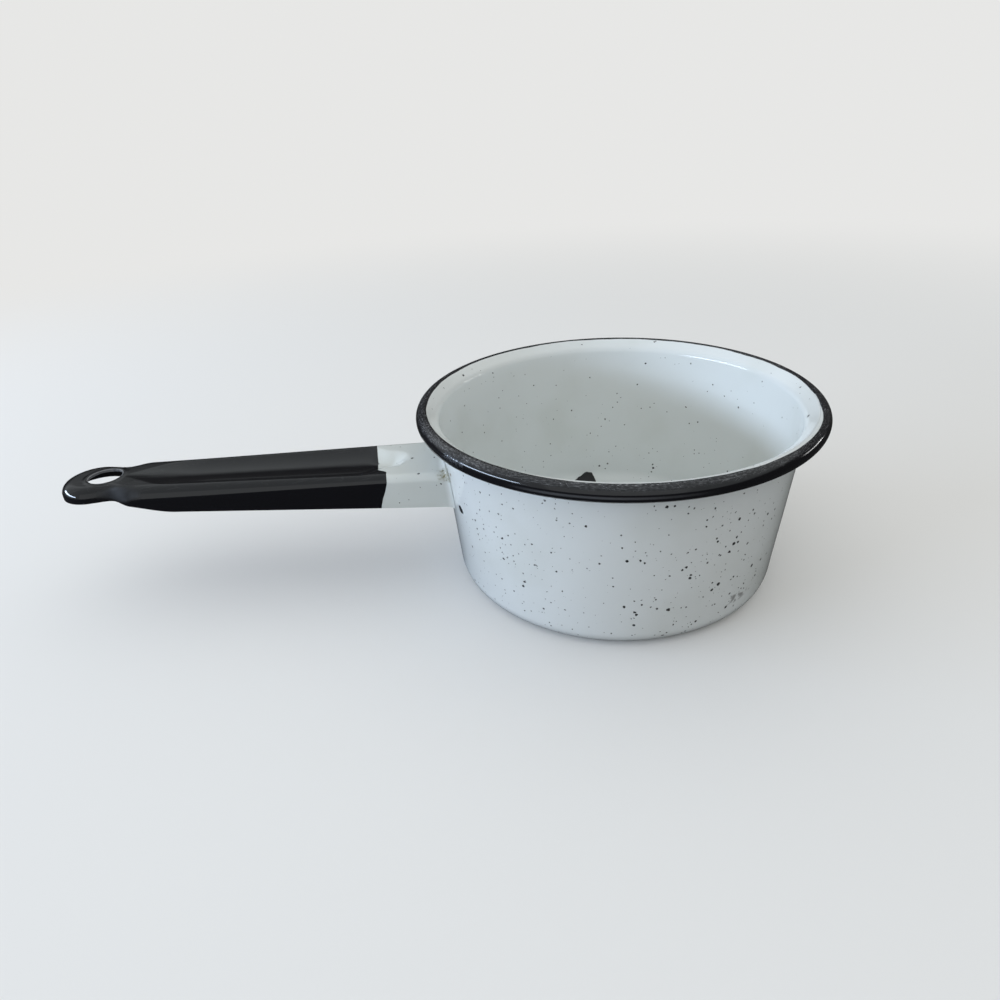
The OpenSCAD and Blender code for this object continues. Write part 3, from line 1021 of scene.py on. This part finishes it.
def add_floor(scene, studio):
    """Pale floor that fades into the backdrop away from the pan"""
    bm = bmesh.new()
    bmesh.ops.create_circle(bm, cap_ends=True, radius=FLOOR_R, segments=FLOOR_STEPS)
    mesh = bpy.data.meshes.new("floor")
    bm.to_mesh(mesh)
    bm.free()
    floor = bpy.data.objects.new("floor", mesh)
    floor.location.z = -FLOOR_DROP
    scene.collection.objects.link(floor)
    recipe = Recipe(bpy.data.materials.new("pale_floor"))
    away = recipe.vector("LENGTH", recipe.place, number=True)
    seen, mirrored = recipe.ray_kinds()
    pale = tuple(studio.backdrop)
    bounced = recipe.blend(mirrored, tuple(studio.floor_bounce), tuple(studio.shade))
    matt = recipe.node("ShaderNodeBsdfDiffuse")
    recipe.feed(matt.inputs["Color"], recipe.blend(seen, bounced, pale))
    plain = recipe.node("ShaderNodeEmission")
    recipe.feed(plain.inputs["Color"], pale)
    mixed = recipe.node("ShaderNodeMixShader")
    recipe.feed(mixed.inputs[0], recipe.smooth(away, FADE_FROM, FADE_TO) * seen)
    recipe.tree.links.new(matt.outputs[0], mixed.inputs[1])
    recipe.tree.links.new(plain.outputs[0], mixed.inputs[2])
    recipe.surface(mixed)
    mesh.materials.append(recipe.owner)


def add_world(scene, studio):
    """Plain light, and for what the enamel mirrors a soft dome that starts higher behind and on the right"""
    scene.world = bpy.data.worlds.new("studio")
    recipe = Recipe(scene.world, "Generated")
    seen, mirrored = recipe.ray_kinds()
    leant = recipe.z - recipe.y * DOME_BEHIND - recipe.x * DOME_RIGHT
    dome = recipe.smooth(leant, DOME_FROM, DOME_TO)
    high = recipe.smooth(recipe.z, LIGHT_FROM, LIGHT_TO)
    even = recipe.blend(high, tuple(studio.low_light), tuple(studio.high_light))
    mirror = recipe.blend(dome, tuple(studio.shade), tuple(studio.dome))
    light = recipe.blend(mirrored, even, mirror)
    sky = recipe.node("ShaderNodeBackground")
    recipe.feed(sky.inputs["Color"], recipe.blend(seen, light, tuple(studio.backdrop)))
    recipe.surface(sky, "ShaderNodeOutputWorld")


def add_lamps(scene, middle):
    """A wide low strip from the handle's side, a weak sheet from the front and a thin strip from the right"""
    for name, way, height, far, wide, tall, power, tint in LAMPS:
        data = bpy.data.lights.new(name, "AREA")
        data.shape = "RECTANGLE"
        data.size = wide
        data.size_y = tall
        data.energy = power
        data.color = tint
        lamp = bpy.data.objects.new(name, data)
        turned, raised = math.radians(way), math.radians(height)
        level = math.cos(raised)
        towards = Vector((math.cos(turned) * level, math.sin(turned) * level, math.sin(raised)))
        lamp.location = middle + far * towards
        lamp.rotation_euler = (middle - lamp.location).to_track_quat("-Z", "Y").to_euler()
        scene.collection.objects.link(lamp)


def add_camera(scene, studio, target):
    """Camera that looks at the middle of the rim and is then tipped, turned and rolled"""
    level = math.cos(studio.elevation)
    back = Vector((
        math.sin(studio.azimuth) * level, -math.cos(studio.azimuth) * level, math.sin(studio.elevation)))
    data = bpy.data.cameras.new("camera")
    data.lens = studio.lens
    camera = bpy.data.objects.new("camera", data)
    scene.collection.objects.link(camera)
    looking = (-back).to_track_quat("-Z", "Y").to_matrix().to_4x4()
    framed = looking @ Matrix.Rotation(studio.tip, 4, "X") @ Matrix.Rotation(studio.turn, 4, "Y")
    framed = framed @ Matrix.Rotation(studio.roll, 4, "Z")
    camera.matrix_world = Matrix.Translation(target + back * studio.distance) @ framed
    scene.camera = camera


class AddStage(bpy.types.Operator):
    """Add the pale floor, the soft lamps and the camera"""

    bl_idname = "saucepan.add_stage"
    bl_label = "Stage"

    def execute(self, context):
        scene = context.scene
        studio, bowl = scene.saucepan_studio, scene.saucepan_bowl
        scene.view_settings.view_transform = "Standard"
        add_floor(scene, studio)
        add_world(scene, studio)
        add_lamps(scene, Vector((0, 0, bowl.pan_h / 2)))
        add_camera(scene, studio, Vector((0, 0, bowl.pan_h - bowl.bead_d / 2)))
        return {"FINISHED"}


# Panel and registration


class SaucepanPanel(bpy.types.Panel):
    """Lists the sizes, the finish and the pieces of the saucepan"""

    bl_idname = "VIEW3D_PT_saucepan"
    bl_label = "Saucepan"
    bl_space_type = "VIEW_3D"
    bl_region_type = "UI"
    bl_category = "Saucepan"

    def draw(self, context):
        layout = self.layout
        for group_name in GROUPS:
            group = getattr(context.scene, group_name)
            box = layout.box()
            for name in group.__annotations__:
                box.prop(group, name)
        for operator in PIECES:
            layout.operator(operator.bl_idname)


GROUPS = {
    "saucepan_bowl": BowlSizes,
    "saucepan_handle": HandleSizes,
    "saucepan_finish": Finish,
    "saucepan_studio": Studio,
}
PIECES = (AddBowl, AddBead, AddHandle, AddWeld, AddStage)


def register():
    for cls in (*GROUPS.values(), *PIECES, SaucepanPanel):
        bpy.utils.register_class(cls)
    for name, group in GROUPS.items():
        setattr(bpy.types.Scene, name, PointerProperty(type=group))


def unregister():
    for name in GROUPS:
        delattr(bpy.types.Scene, name)
    for cls in (SaucepanPanel, *PIECES, *GROUPS.values()):
        bpy.utils.unregister_class(cls)


def main():
    register()
    bpy.ops.saucepan.add_bowl()
    bpy.ops.saucepan.add_bead()
    bpy.ops.saucepan.add_handle()
    bpy.ops.saucepan.add_weld()
    bpy.ops.saucepan.add_stage()


if __name__ == "__main__":
    main()
